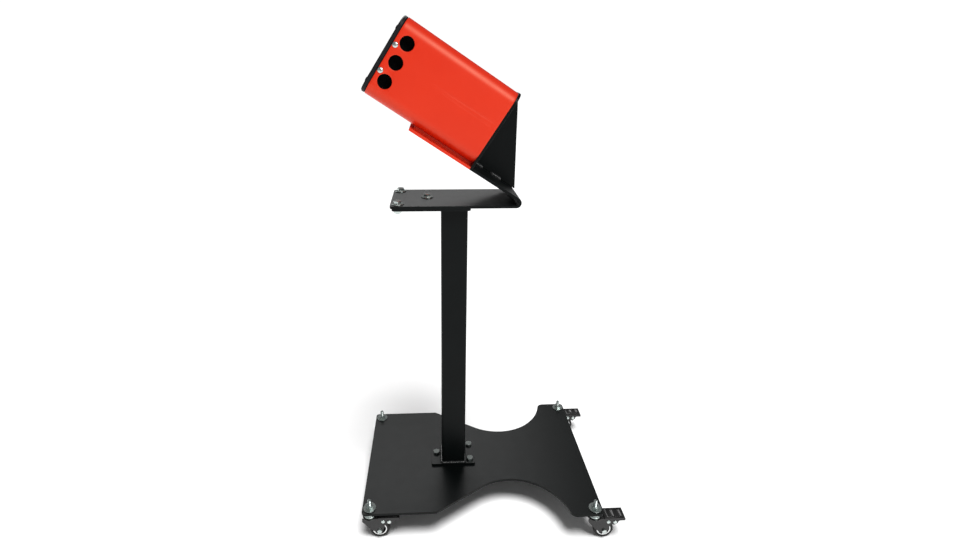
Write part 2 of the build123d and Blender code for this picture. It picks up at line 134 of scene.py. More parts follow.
# ---------------------------------------------------------------- material nodes
class Look:
    """One procedural material: helpers that add nodes round its Principled shader."""

    def __init__(self, name):
        self.material = bpy.data.materials.new(name)
        self.material.use_nodes = True
        self.tree = self.material.node_tree
        self.shader = self.tree.nodes["Principled BSDF"]
        self.place = self.tree.nodes.new("ShaderNodeTexCoord").outputs["Object"]

    def link(self, source, socket):
        self.tree.links.new(source, socket)

    def noise(self, scale, detail=3.0, rough=0.5, stretch=None):
        """Noise in object space; scale counts cells per metre."""
        node = self.tree.nodes.new("ShaderNodeTexNoise")
        node.inputs["Scale"].default_value = scale
        node.inputs["Detail"].default_value = detail
        node.inputs["Roughness"].default_value = rough
        where = self.place
        if stretch:
            mapping = self.tree.nodes.new("ShaderNodeMapping")
            mapping.inputs["Scale"].default_value = stretch
            self.link(where, mapping.inputs["Vector"])
            where = mapping.outputs["Vector"]
        self.link(where, node.inputs["Vector"])
        return node.outputs["Fac"]

    def cells(self, scale):
        node = self.tree.nodes.new("ShaderNodeTexVoronoi")
        node.inputs["Scale"].default_value = scale
        self.link(self.place, node.inputs["Vector"])
        return node.outputs["Distance"]

    def ramp(self, value, stops):
        """A colour ramp: stops are (position, colour)."""
        node = self.tree.nodes.new("ShaderNodeValToRGB")
        band = node.color_ramp
        while len(band.elements) < len(stops):
            band.elements.new(0.5)
        for element, (position, colour) in zip(band.elements, stops):
            element.position = position
            element.color = (*colour, 1)
        self.link(value, node.inputs["Fac"])
        return node.outputs["Color"]

    def spread(self, value, low, high, start=0.3, end=0.7):
        """Maps a varying value from start..end to low..high."""
        node = self.tree.nodes.new("ShaderNodeMapRange")
        for socket, number in zip(("From Min", "From Max", "To Min", "To Max"), (start, end, low, high)):
            node.inputs[socket].default_value = number
        self.link(value, node.inputs["Value"])
        return node.outputs["Result"]

    def mixed(self, share, first, second):
        """Two varying colours blended by a varying share."""
        node = self.tree.nodes.new("ShaderNodeMix")
        node.data_type = "RGBA"
        self.link(share, node.inputs["Factor"])
        colour_a, colour_b, colour_out = node.inputs[6], node.inputs[7], node.outputs[2]
        for socket, value in ((colour_a, first), (colour_b, second)):
            if isinstance(value, tuple):
                socket.default_value = (*value, 1)
            else:
                self.link(value, socket)
        return colour_out

    def product(self, first, second):
        node = self.tree.nodes.new("ShaderNodeMath")
        node.operation = "MULTIPLY"
        node.use_clamp = True
        self.link(first, node.inputs[0])
        self.link(second, node.inputs[1])
        return node.outputs[0]

    def edge(self):
        """1 on the faces that soften_edges made, 0 elsewhere."""
        node = self.tree.nodes.new("ShaderNodeAttribute")
        node.attribute_name = "edge"
        return node.outputs["Fac"]

    def bumps(self, *layers):
        """Stacks bump nodes: each layer is (height, strength, distance in metres)."""
        normal = None
        for height, strength, distance in layers:
            node = self.tree.nodes.new("ShaderNodeBump")
            node.inputs["Strength"].default_value = strength
            node.inputs["Distance"].default_value = distance
            self.link(height, node.inputs["Height"])
            if normal:
                self.link(normal, node.inputs["Normal"])
            normal = node.outputs["Normal"]
        self.link(normal, self.shader.inputs["Normal"])

    def set(self, **values):
        """Sets shader sockets; underscores in a name stand for spaces."""
        for name, value in values.items():
            socket = self.shader.inputs[name.replace("_", " ")]
            if isinstance(value, bpy.types.NodeSocket):
                self.link(value, socket)
            else:
                socket.default_value = value


def powder_black():
    look = Look("black_powder_coat")
    cloud = look.noise(7, 4, 0.6)
    speck = look.noise(2600, 2, 0.5)
    tone = look.ramp(cloud, ((0.3, (0.0022, 0.0031, 0.0031)), (0.7, (0.0034, 0.0045, 0.0045))))
    # Bevelled edges are lighter: rubbed coat and a painted edge highlight.
    wear_and_edge_highlight = look.mixed(look.product(look.edge(), look.spread(look.noise(160, 4), 0.0, 0.5)),
                      tone, (0.03, 0.032, 0.032))
    look.set(Base_Color=wear_and_edge_highlight, Specular_IOR_Level=0.1,
             Roughness=look.spread(look.noise(38, 5, 0.6), 0.33, 0.37))
    look.bumps((look.noise(950, 2, 0.4), 0.03, 0.00004), (speck, 0.03, 0.00002))
    return look.material


def red_coat():
    look = Look("red_semi_gloss_coat")
    cloud = look.noise(9, 3, 0.55)
    tone = look.ramp(cloud, ((0.3, (0.63, 0.017, 0.002)), (0.7, (0.67, 0.021, 0.003))))
    # Bevelled edges are lighter red: rubbed coat and a painted edge highlight.
    wear_and_edge_highlight = look.mixed(look.product(look.edge(), look.spread(look.noise(120, 4), 0.0, 0.35)),
                      tone, (0.80, 0.06, 0.03))
    look.set(Base_Color=wear_and_edge_highlight, Specular_IOR_Level=0.46, Specular_Tint=(1.0, 0.86, 0.62, 1.0),
             Roughness=look.spread(look.noise(30, 4), 0.38, 0.42))
    look.bumps((look.noise(700, 2, 0.4), 0.03, 0.00004), (look.noise(14, 2), 0.04, 0.0004))
    return look.material


def weld_black():
    look = Look("coated_weld")
    tone = look.ramp(look.noise(300, 4), ((0.35, (0.006, 0.007, 0.007)), (0.7, (0.02, 0.021, 0.021))))
    look.set(Base_Color=tone, Specular_IOR_Level=0.55,
             Roughness=look.spread(look.noise(240, 4), 0.16, 0.34))
    look.bumps((look.noise(520, 4, 0.6), 0.35, 0.0004))
    return look.material


def zinc(name, dark, light, rough_low, rough_high):
    """Zinc plating: a cool tint that drifts from dark to light, with fine turning marks."""
    look = Look(name)
    palest = (0.66, 0.69, 0.66)
    tone = look.ramp(look.noise(90, 5, 0.6), ((0.3, dark), (0.5, light), (0.72, palest)))
    marks = look.noise(2600, 2, 0.5, stretch=(1, 1, 0.12))
    look.set(Base_Color=tone, Metallic=1.0,
             Roughness=look.spread(look.noise(420, 4), rough_low, rough_high))
    look.bumps((marks, 0.10, 0.00005), (look.noise(180, 3), 0.08, 0.0002))
    return look.material


def moulded_black(name, tone_low, tone_high, rough_low, rough_high, grain=1500, depth=0.12, shine=0.15):
    """Dark plastic, rubber or gloss lacquer with a fine skin."""
    look = Look(name)
    tone = look.ramp(look.noise(60, 5, 0.6), ((0.3, tone_low), (0.72, tone_high)))
    # Bevelled edges are lighter: rubbed skin and a painted edge highlight.
    wear_and_edge_highlight = look.mixed(look.product(look.edge(), look.spread(look.noise(200, 3), 0.0, 0.4)),
                      tone, tuple(0.04 + channel for channel in tone_high))
    look.set(Base_Color=wear_and_edge_highlight, Specular_IOR_Level=shine,
             Roughness=look.spread(look.noise(110, 4), rough_low, rough_high))
    look.bumps((look.cells(grain), depth, 0.0001), (look.noise(70, 3), 0.06, 0.0004))
    return look.material


def polished(name):
    look = Look(name)
    tone = look.ramp(look.noise(60, 4), ((0.3, (0.62, 0.63, 0.63)), (0.7, (0.80, 0.81, 0.80))))
    look.set(Base_Color=tone, Metallic=1.0, Roughness=look.spread(look.noise(300, 4), 0.10, 0.2))
    look.bumps((look.noise(240, 3), 0.04, 0.0001))
    return look.material


LOOKS = {
    "black_coat": powder_black(),
    "red_coat": red_coat(),
    "weld_bead": weld_black(),
    "zinc_steel": zinc("bright_zinc", (0.38, 0.44, 0.43), (0.60, 0.66, 0.64), 0.20, 0.34),
    "black_plastic": moulded_black("moulded_black", (0.006, 0.006, 0.007), (0.012, 0.012, 0.013),
                                   0.38, 0.52),
    "black_screw": moulded_black("black_oxide", (0.008, 0.008, 0.008), (0.02, 0.02, 0.021),
                                 0.28, 0.40, grain=900, depth=0.05),
    # The inside parts are near black: painted shade where the housing's inside lies in shadow.
    "dark_inside": moulded_black("inside_painted_shade", (0.001, 0.001, 0.001), (0.002, 0.002, 0.002), 0.8, 0.95),
    "caster_black": moulded_black("gloss_black", (0.006, 0.006, 0.006), (0.012, 0.012, 0.012),
                                  0.14, 0.26, grain=500, depth=0.04, shine=0.4),
    "tyre_rubber": moulded_black("rubber", (0.010, 0.010, 0.010), (0.02, 0.02, 0.019),
                                 0.45, 0.62, grain=1200, depth=0.2),
    "chrome_ring": polished("polished_ring"),
}
NODE_SLOT = {part["node"]: part["material_slot"] for part in frame["record"]["subparts"]}
for cad_name, cad_object in frame["nodes"].items():
    cad_object.data.materials.clear()
    cad_object.data.materials.append(LOOKS[NODE_SLOT[cad_name]])


# ---------------------------------------------------------------- making pieces
def finish_piece(name, bm, body, slot, smooth=35.0, replaces=()):
    """Turns a bmesh in the row frame into a piece that rides on a CAD body."""
    bmesh.ops.recalc_face_normals(bm, faces=bm.faces)
    mesh = bpy.data.meshes.new(name)
    bm.to_mesh(mesh)
    bm.free()
    mesh.shade_smooth()
    mesh.set_sharp_from_angle(angle=math.radians(smooth))
    obj = bpy.data.objects.new(name, mesh)
    scene.collection.objects.link(obj)
    mesh.materials.append(LOOKS[slot])
    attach(obj, body)
    if replaces:
        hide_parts(*replaces)
    return obj


def soften_edges(bm, width, segments=3, angle=28.0):
    """Rounds the sharp edges of a bmesh, and marks the new faces in the edge attribute."""
    layer = bm.faces.layers.float.new("edge")
    sharp = [e for e in bm.edges if len(e.link_faces) == 2 and e.calc_face_angle(0) > math.radians(angle)]
    made = bmesh.ops.bevel(bm, geom=sharp, offset=width, segments=segments, profile=0.5,
                           affect="EDGES", clamp_overlap=True)
    for face in made["faces"]:
        face[layer] = 1.0


def softened(node, width, segments=3, angle=28.0):
    """A copy of a CAD node with rounded edges, which stands for the node."""
    bm = welded(node)
    soften_edges(bm, width, segments, angle)
    body = frame["nodes"][node]["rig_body"]
    obj = finish_piece(node + "_finished", bm, body, NODE_SLOT[node], 40.0, (node,))
    weighted = obj.modifiers.new("flat_faces", "WEIGHTED_NORMAL")
    weighted.keep_sharp = True
    weighted.weight = 80
    return obj


def lathe(bm, profile, place, steps=64):
    """Turns a closed profile of (radius, height) points about the place's z axis."""
    rings = []
    for radius, height in profile:
        if radius < 1e-7:
            rings.append([bm.verts.new(place @ Vector((0, 0, height)))])
            continue
        ring = []
        for i in range(steps):
            angle = math.tau * i / steps
            point = Vector((radius * math.cos(angle), radius * math.sin(angle), height))
            ring.append(bm.verts.new(place @ point))
        rings.append(ring)
    closed = profile[0][0] > 1e-7 and profile[-1][0] > 1e-7
    pairs = list(zip(rings, rings[1:])) + ([(rings[-1], rings[0])] if closed else [])
    for low, high in pairs:
        for i in range(steps):
            j = (i + 1) % steps
            quad = [low[i % len(low)], low[j % len(low)], high[j % len(high)], high[i % len(high)]]
            face = []
            for vert in quad:
                if vert not in face:
                    face.append(vert)
            if len(face) > 2:
                bm.faces.new(face)


def rounded(low, high, inner, outer, radius, steps=4):
    """Closed lathe profile of a ring from inner to outer radius, with its outer corners rounded."""
    points = [(inner, low)]
    for corner_h, start in ((low + radius, -90), (high - radius, 0)):
        for i in range(steps + 1):
            angle = math.radians(start + 90 * i / steps)
            points.append((outer - radius + radius * math.cos(angle), corner_h + radius * math.sin(angle)))
    points.append((inner, high))
    return points


def dome(radius, height, lift=0.0, steps=7):
    """Lathe profile of a domed head that stands on z = lift."""
    points = [(0.0, lift), (radius, lift)]
    for i in range(1, steps + 1):
        angle = math.radians(90 * i / steps)
        reach = radius * math.cos(angle) ** 0.8 if i < steps else 0.0
        points.append((reach, lift + height * math.sin(angle)))
    return points


def hex_radius(angle, flats):
    """Distance from the centre to the side of a hexagon in a direction."""
    local = (angle + math.pi / 6) % (math.pi / 3) - math.pi / 6
    return flats / 2 / math.cos(local)


def hexagonal(bm, place, flats, height, bore=0.0, both_ends=False, per_side=10):
    """A hex head or, with a bore, a hex nut, with the turned chamfer of the real thing."""
    steps = 6 * per_side
    flat_circle = flats / 2 * 0.96
    slope = math.tan(math.radians(30))

    def ring(radius_of, height_of):
        verts = []
        for i in range(steps):
            angle = math.tau * i / steps
            radius = radius_of(angle)
            point = Vector((radius * math.cos(angle), radius * math.sin(angle), height_of(radius)))
            verts.append(bm.verts.new(place @ point))
        return verts

    def drop(radius):
        return max(0.0, radius - flat_circle) * slope

    rings = [ring(lambda a: flat_circle, lambda r: 0.0)] if both_ends else []
    rings.append(ring(lambda a: hex_radius(a, flats), lambda r: drop(r) if both_ends else 0.0))
    rings.append(ring(lambda a: hex_radius(a, flats), lambda r: height - drop(r)))
    rings.append(ring(lambda a: flat_circle, lambda r: height))
    if bore:
        lip = 0.08 * bore
        rings.append(ring(lambda a: bore + lip, lambda r: height))
        rings.append(ring(lambda a: bore, lambda r: height - lip))
        rings.append(ring(lambda a: bore, lambda r: 0.0))
    for low, high in zip(rings, rings[1:] + rings[:1] if bore else rings[1:]):
        for i in range(steps):
            j = (i + 1) % steps
            bm.faces.new((low[i], low[j], high[j], high[i]))
    if not bore:
        bm.faces.new(rings[0])
        bm.faces.new(rings[-1])


def threaded(bm, place, radius, length, pitch=1.5 * MM, depth=0.75 * MM, around=36):
    """A threaded rod along the place's z axis, with a chamfered far end."""
    rows = int(length / pitch * 6)
    chamfer = 1.3 * MM
    rings = []
    for row in range(rows + 1):
        height = length * row / rows
        ring = []
        for i in range(around):
            angle = math.tau * i / around
            phase = math.tau * height / pitch - angle
            cut = radius - depth * (0.5 - 0.5 * math.cos(phase)) ** 0.8
            reach = min(cut, radius - chamfer + (length - height))
            point = Vector((reach * math.cos(angle), reach * math.sin(angle), height))
            ring.append(bm.verts.new(place @ point))
        rings.append(ring)
    for low, high in zip(rings, rings[1:]):
        for i in range(around):
            j = (i + 1) % around
            bm.faces.new((low[i], low[j], high[j], high[i]))
    bm.faces.new(list(reversed(rings[0])))
    bm.faces.new(rings[-1])


def block(bm, low, high, place=Matrix.Identity(4), round_by=0.0, segments=2):
    """A box between two corners of the place's frame, with its edges rounded."""
    made = bmesh.ops.create_cube(bm, size=1.0)["verts"]
    low, high = Vector(low), Vector(high)
    for vert in made:
        local = Vector([low[i] + (vert.co[i] + 0.5) * (high[i] - low[i]) for i in range(3)])
        vert.co = place @ local
    if round_by:
        edges = list({edge for vert in made for edge in vert.link_edges})
        bmesh.ops.bevel(bm, geom=edges, offset=round_by, segments=segments, profile=0.5, affect="EDGES")


def cut_with(obj, cutter_bm):
    """Cuts a bmesh out of a piece and keeps the result as the piece's own mesh."""
    mesh = bpy.data.meshes.new("cutter")
    bmesh.ops.recalc_face_normals(cutter_bm, faces=cutter_bm.faces)
    cutter_bm.to_mesh(mesh)
    cutter_bm.free()
    cutter = bpy.data.objects.new("cutter", mesh)
    scene.collection.objects.link(cutter)
    modifier = obj.modifiers.new("cut", "BOOLEAN")
    modifier.operation = "DIFFERENCE"
    modifier.solver = "EXACT"
    modifier.object = cutter
    result = bpy.data.meshes.new_from_object(obj.evaluated_get(bpy.context.evaluated_depsgraph_get()))
    obj.modifiers.remove(modifier)
    obj.data = result
    bpy.data.objects.remove(cutter)
    bpy.data.meshes.remove(mesh)
    result.shade_smooth()
    result.set_sharp_from_angle(angle=math.radians(35))


# the slope's own directions: off_slope is square to the housing's top, up_slope runs to its raised end
off_slope = mount_at("housing_top")[1]
up_slope = Vector((-off_slope.z, 0, off_slope.x))


# ---------------------------------------------------------------- sheet steel of the stand
for plate in ("base_plate", "foot_plate", "top_flange", "gusset_plate", "end_plate"):
    softened(plate, 0.6 * MM)
softened("tilt_bracket", 0.7 * MM)
softened("post_tube", 0.5 * MM, 2)
for washers in ("bracket_washers", "caster_washers"):
    softened(washers, 0.35 * MM, 2)


# ---------------------------------------------------------------- welds
def bead_section(corner, along_a, along_b, size_a, size_b, steps=6):
    """Section of a fillet weld from one surface round to the other, bulging between them."""
    points = []
    for i in range(steps + 1):
        angle = math.radians(90 * i / steps)
        bulge = 1 + 0.06 * math.sin(2 * angle)
        point = corner + along_a * size_a * bulge * math.cos(angle)
        points.append(point + along_b * size_b * bulge * math.sin(angle))
    return points


def bead(bm, stations, closed=False):
    """Skins a weld bead through stations of (corner, direction a, direction b, size a, size b)."""
    rings = []
    for corner, along_a, along_b, size_a, size_b in stations:
        points = bead_section(corner, along_a, along_b, size_a, size_b)
        points.append(corner - (along_a + along_b) * 0.2 * MM)
        rings.append([bm.verts.new(point) for point in points])
    pairs = list(zip(rings, rings[1:])) + ([(rings[-1], rings[0])] if closed else [])
    for low, high in pairs:
        for i in range(len(low)):
            j = (i + 1) % len(low)
            bm.faces.new((low[i], low[j], high[j], high[i]))
    if not closed:
        bm.faces.new(rings[0])
        bm.faces.new(list(reversed(rings[-1])))


def ripple(distance, seed, pitch=2.6 * MM):
    """Height of the overlapping scales of a weld bead at a distance along it, about 1."""
    wander = noise.noise(Vector((distance * 60, seed, 0.0)))
    phase = (distance / pitch + 0.6 * wander) % 1.0
    return 0.90 + 0.20 * math.sqrt(max(0.0, 1 - phase ** 2)) + 0.16 * wander


def bead_round_post(name, level, up, size, replaces=()):
    """Bead round the square post where it meets a plate."""
    low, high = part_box("post_tube")
    middle = (low + high) / 2
    half, corner = (high.x - low.x) / 2, 5 * MM
    straight = 2 * (half - corner)
    bend = math.pi / 2 * corner
    total, stations = 4 * (straight + bend), []
    count = 480
    for i in range(count):
        walked = total * i / count
        side, rest = int(walked // (straight + bend)), walked % (straight + bend)
        turn = Matrix.Rotation(side * math.pi / 2, 3, "Z")
        if rest < straight:
            local, outward = Vector((half, -straight / 2 + rest, 0)), Vector((1, 0, 0))
        else:
            angle = (rest - straight) / corner
            outward = Vector((math.cos(angle), math.sin(angle), 0))
            local = Vector((half - corner, half - corner, 0)) + outward * corner
        height = size * ripple(walked, 3.7)
        point = turn @ local + Vector((middle.x, middle.y, level))
        stations.append((point, turn @ outward, Vector((0, 0, up)), height, height * 0.9))
    bm = bmesh.new()
    bead(bm, stations, closed=True)
    finish_piece(name, bm, "stand", "weld_bead", 60.0, replaces)


post_low, post_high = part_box("post_tube")
bead_round_post("foot_bead", post_low.z, 1, 4.2 * MM, ("foot_weld",))
bead_round_post("flange_bead", post_high.z, -1, 3.2 * MM)

stitch_bm = bmesh.new()
gusset_low, gusset_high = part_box("gusset_plate")
for number, (low, high) in enumerate(solids("gusset_welds")):
    middle = (low + high) / 2
    on_front = middle.y < (gusset_low.y + gusset_high.y) / 2
    face_y = gusset_low.y if on_front else gusset_high.y
    out = Vector((0, -1 if on_front else 1, 0))
    foot_level = span("gusset_plate", off_slope)[0]
    reach = ((high - low).x - 6 * MM * abs(off_slope.x)) / abs(up_slope.x)
    centre = Vector((middle.x, face_y, middle.z))
    centre += off_slope * (foot_level - centre.dot(off_slope))
    stations, steps = [], 70
    for i in range(steps + 1):
        walked = reach * (i / steps - 0.5)
        ends = math.sqrt(max(0.02, 1 - (2 * abs(i / steps - 0.5)) ** 6))
        height = 6.0 * MM * ripple(walked + number, 11.3 + number) * ends
        stations.append((centre + up_slope * walked, out, off_slope, height, height * 0.95))
    bead(stitch_bm, stations)
finish_piece("gusset_stitches", stitch_bm, "stand", "weld_bead", 60.0, ("gusset_welds",))


# ---------------------------------------------------------------- bolts, nuts and threads
THREAD_R = 4.9 * MM


def bolts_through(node, name, flats, head):
    """Hex bolts in the places of a node's solids: chamfered heads and shanks threaded along their length.
    """
    bm = bmesh.new()
    for number, (low, high) in enumerate(solids(node)):
        middle = (low + high) / 2
        seat = high.z - head
        turn = 12 + 23 * number
        hexagonal(bm, facing((middle.x, middle.y, seat), Z_AXIS, turn), flats, head)
        lathe(bm, [(0, 0), (flats * 0.47, 0), (flats * 0.47, 0.4 * MM), (0, 0.4 * MM)],
              facing((middle.x, middle.y, seat - 0.2 * MM), Z_AXIS))
        threaded(bm, facing((middle.x, middle.y, seat), -Z_AXIS), THREAD_R, seat - low.z)
    finish_piece(name, bm, "stand", "zinc_steel", 30.0, (node,))


def nuts_at(node, name, flats):
    """Chamfered hex nuts in the places of a node's solids."""
    bm = bmesh.new()
    for number, (low, high) in enumerate(solids(node)):
        middle = (low + high) / 2
        place = facing((middle.x, middle.y, low.z), Z_AXIS, 8 + 17 * number)
        hexagonal(bm, place, flats, high.z - low.z, THREAD_R + 0.1 * MM, both_ends=True)
    finish_piece(name, bm, "stand", "zinc_steel", 30.0, (node,))


bolts_through("foot_bolts", "foot_bolts_threaded", 16 * MM, 6.5 * MM)
bolts_through("bracket_bolts", "bracket_bolts_threaded", 16 * MM, 6.5 * MM)
for nut_node in ("foot_nuts", "bracket_nuts", "caster_nuts"):
    nuts_at(nut_node, nut_node + "_turned", 17 * MM)

rail_screw_bm = bmesh.new()
for low, high in solids("rail_screws"):
    seat = (low + high) / 2
    seat += off_slope * (span("rail_plate", off_slope)[0] - seat.dot(off_slope))
    hexagonal(rail_screw_bm, facing(seat, -off_slope, 15), 10 * MM, 3 * MM)
finish_piece("rail_screws_turned", rail_screw_bm, "stand", "zinc_steel", 30.0, ("rail_screws",))


# ---------------------------------------------------------------- housing
def housing_section(half_y, half_v, radius, arc_steps=12):
    """Rounded box section as (y, v) points; the flat sides get extra points for the pressed lines."""
    line_zone = [v * MM for v in range(-14, 24)]
    points = []
    for sign_y, sign_v, start in ((1, 1, 0), (-1, 1, 90), (-1, -1, 180), (1, -1, 270)):
        centre = (sign_y * (half_y - radius), sign_v * (half_v - radius))
        for i in range(arc_steps + 1):
            angle = math.radians(start + 90 * i / arc_steps)
            points.append((centre[0] + radius * math.cos(angle), centre[1] + radius * math.sin(angle)))
        if start == 90:
            points += [(-half_y, v) for v in reversed(line_zone)]
        if start == 270:
            points += [(half_y, v) for v in line_zone]
    return points


def pressed_line(share, height):
    """Depth of the two faint pressed lines on each side; share runs from the low end to the front."""
    fade = max(0.0, min(1.0, (0.66 - share) / 0.25)) * max(0.0, min(1.0, (share - 0.01) / 0.05))
    gap = 2.0 * MM + 5.5 * MM * (0.66 - share)
    centre = 3.2 * MM
    depth = 0.0
    for line, weight in ((centre + gap, 1.0), (centre - gap, 0.7)):
        depth += weight * math.exp(-((height - line) / (1.3 * MM)) ** 2)
    return 0.5 * MM * fade * depth


def build_housing():
    """The red shell: an outer and an inner skin, joined at both ends."""
    low_s, high_s = span("housing_shell", up_slope)
    low_v, high_v = span("housing_shell", off_slope)
    low_y, high_y = span("housing_shell", Y_AXIS)
    half_y, half_v = (high_y - low_y) / 2, (high_v - low_v) / 2
    middle_v = (low_v + high_v) / 2
    wall, radius, edge_r = 3 * MM, 28 * MM, 0.5 * MM

    def loop(bm, s, shrink, pressed=True):
        verts = []
        for y, v in housing_section(half_y - shrink, half_v - shrink, radius - shrink):
            if pressed and abs(abs(y) - half_y + shrink) < 1e-6:
                dent = pressed_line((s - low_s) / (high_s - low_s), v)
                y -= math.copysign(dent, y)
            verts.append(bm.verts.new(up_slope * s + off_slope * (middle_v + v) + Y_AXIS * y))
        return verts

    bm = bmesh.new()
    stations = 64
    loops = [loop(bm, low_s, edge_r), loop(bm, low_s + 0.3 * edge_r, 0.3 * edge_r)]
    for i in range(stations + 1):
        s = low_s + edge_r + (high_s - low_s - 2 * edge_r) * i / stations
        loops.append(loop(bm, s, 0.0))
    loops += [loop(bm, high_s - 0.3 * edge_r, 0.3 * edge_r), loop(bm, high_s, edge_r)]
    loops += [loop(bm, high_s, wall, False), loop(bm, low_s, wall, False)]
    for low, high in zip(loops, loops[1:] + loops[:1]):
        for i in range(len(low)):
            j = (i + 1) % len(low)
            bm.faces.new((low[i], low[j], high[j], high[i]))
    shell = finish_piece("housing_shell_pressed", bm, "stand", "red_coat", 40.0, ("housing_shell",))

    cutter = bmesh.new()
    openings = [mount_at("near_" + name + "_opening")[0] for name in ("lower", "middle", "upper")]
    opening_r, flare = 15.5 * MM, 0.5 * MM
    for side in (-1, 1):
        out = Y_AXIS * side
        for centre in openings:
            profile = [(0, -wall - MM), (opening_r, -wall - MM), (opening_r, -flare),
                       (opening_r + 0.3 * flare, -0.3 * flare), (opening_r + flare, 0),
                       (opening_r + flare, MM), (0, MM)]
            lathe(cutter, profile, facing(Vector((centre.x, half_y * side, centre.z)), out), 96)
        for low, high in solids("side_screws"):
            middle = (low + high) / 2
            if middle.y * side > 0:
                lathe(cutter, [(0, -wall - MM), (2.5 * MM, -wall - MM), (2.5 * MM, MM), (0, MM)],
                      facing(Vector((middle.x, half_y * side, middle.z)), out), 24)
    cut_with(shell, cutter)
    return shell


build_housing()
housing_high_y = span("housing_shell", Y_AXIS)[1]
softened("front_cap", 0.7 * MM)
softened("rail_plate", 0.6 * MM)
softened("rail_spacer", 0.4 * MM)


def cross_screws():
    """Pan-head screws on both sides of the housing, each with its cross recess."""
    head_r, head_h = 6.2 * MM, 2.8 * MM
    pan = [(0, 0), (head_r, 0), (head_r, 0.5 * MM), (head_r * 0.97, 1.1 * MM), (head_r * 0.88, 1.8 * MM),
           (head_r * 0.72, 2.35 * MM), (head_r * 0.45, 2.7 * MM), (0, head_h)]
    for number, (low, high) in enumerate(solids("side_screws")):
        middle = (low + high) / 2
        side = 1 if middle.y > 0 else -1
        seat = Vector((middle.x, housing_high_y * side, middle.z))
        place = facing(seat, Y_AXIS * side, 25 + 31 * number)
        bm = bmesh.new()
        lathe(bm, pan, place, 48)
        screw = finish_piece(f"side_screw_{number + 1}", bm, "stand", "zinc_steel", 35.0, ("side_screws",))
        for turn in (0, 90):
            cutter = bmesh.new()
            blade = facing(seat + Y_AXIS * side * head_h, Y_AXIS * side, 25 + 31 * number + turn)
            half_l, half_w, depth = 3.0 * MM, 0.6 * MM, 1.9 * MM
            top = [(-half_l, -half_w), (half_l, -half_w), (half_l, half_w), (-half_l, half_w)]
            upper = [cutter.verts.new(blade @ Vector((x, y, MM))) for x, y in top]
            lower = [cutter.verts.new(blade @ Vector((x * 0.5, y * 0.6, -depth))) for x, y in top]
            cutter.faces.new(upper)
            cutter.faces.new(list(reversed(lower)))
            for i in range(4):
                j = (i + 1) % 4
                cutter.faces.new((upper[j], upper[i], lower[i], lower[j]))
            cut_with(screw, cutter)


cross_screws()

face_level = span("front_cap", up_slope)[1]
for number, (low, high) in enumerate(solids("cap_screws")):
    middle = (low + high) / 2
    seat = middle + up_slope * (face_level - middle.dot(up_slope))
    head_r, head_h, socket_r = 6.2 * MM, 3 * MM, 2.3 * MM
    button = [(0, 0.7 * MM), (socket_r, 0.7 * MM), (socket_r, 2.9 * MM), (3.2 * MM, head_h),
              (4.4 * MM, 2.75 * MM), (5.4 * MM, 2.05 * MM), (6.0 * MM, 1.0 * MM), (head_r, 0.25 * MM),
              (6.1 * MM, 0), (0, 0)]
    bm = bmesh.new()
    lathe(bm, button, facing(seat, up_slope), 48)
    finish_piece(f"cap_screw_{number + 1}", bm, "stand", "black_screw", 35.0, ("cap_screws",))


# ---------------------------------------------------------------- casters
PLATE_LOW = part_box("base_plate")[0].z


def stems():
    """Threaded stems above the plate, flanges and kingpins below it."""
    bm = bmesh.new()
    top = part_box("caster_stems")[1].z
    for tag in TAGS:
        pivot = joint_at("swivel_turn_" + tag)
        axis = facing((pivot.x, pivot.y, PLATE_LOW), Z_AXIS)
        lathe(bm, rounded(-3 * MM, 0, 4 * MM, 17 * MM, 0.8 * MM), axis)
        lathe(bm, [(0, -17.3 * MM), (4.5 * MM, -17.3 * MM), (4.5 * MM, -3 * MM), (0, -3 * MM)], axis, 32)
        lathe(bm, [(0, -19.3 * MM), (6 * MM, -19.3 * MM), (7.5 * MM, -18.4 * MM), (7.5 * MM, -17.3 * MM),
                   (0, -17.3 * MM)], axis, 32)
        threaded(bm, axis, 4.8 * MM, top - PLATE_LOW)
    finish_piece("caster_stems_threaded", bm, "stand", "zinc_steel", 30.0, ("caster_stems",))


def ball_race(tag, pivot):
    """Two pressed cups with a ring of steel balls between them."""
    body = "swivel_" + tag
    axis = facing((pivot.x, pivot.y, PLATE_LOW), Z_AXIS)
    bm = bmesh.new()
    lathe(bm, rounded(-14.5 * MM, -9.8 * MM, 9 * MM, 15 * MM, 1.4 * MM), axis)
    lathe(bm, rounded(-6.0 * MM, -3.3 * MM, 9 * MM, 14.4 * MM, 0.8 * MM), axis)
    ball_r, ring_r, count = 2.1 * MM, 12.4 * MM, 16
    for i in range(count):
        angle = math.tau * i / count
        offset = Vector((ring_r * math.cos(angle), ring_r * math.sin(angle), -7.9 * MM))
        bmesh.ops.create_uvsphere(bm, u_segments=16, v_segments=10, radius=ball_r,
                                  matrix=axis @ Matrix.Translation(offset))
    finish_piece("race_" + tag + "_balls", bm, body, "zinc_steel", 35.0, ("race_" + tag,))


def rivets(tag, first, second):
    """Domed rivets: a pair through the cheeks, and the one that the pedal turns on."""
    bm = bmesh.new()
    cheek, ear = 13.3 * MM, 15.9 * MM
    for centre, out in ((first, cheek), (second, ear)):
        for side in (-1, 1):
            lathe(bm, dome(4.8 * MM, 2.0 * MM), facing(centre + Y_AXIS * side * out, Y_AXIS * side), 40)
    for side in (-1, 1):
        lathe(bm, [(0, 0), (3 * MM, 0), (3 * MM, 2 * MM), (0, 2 * MM)],
              facing(first + Y_AXIS * side * 11.3 * MM, Y_AXIS * side), 32)
    lathe(bm, [(0, -ear), (3 * MM, -ear), (3 * MM, ear), (0, ear)], facing(second, Y_AXIS), 32)
    finish_piece("rivets_" + tag + "_domed", bm, "swivel_" + tag, "zinc_steel", 35.0, ("rivets_" + tag,))


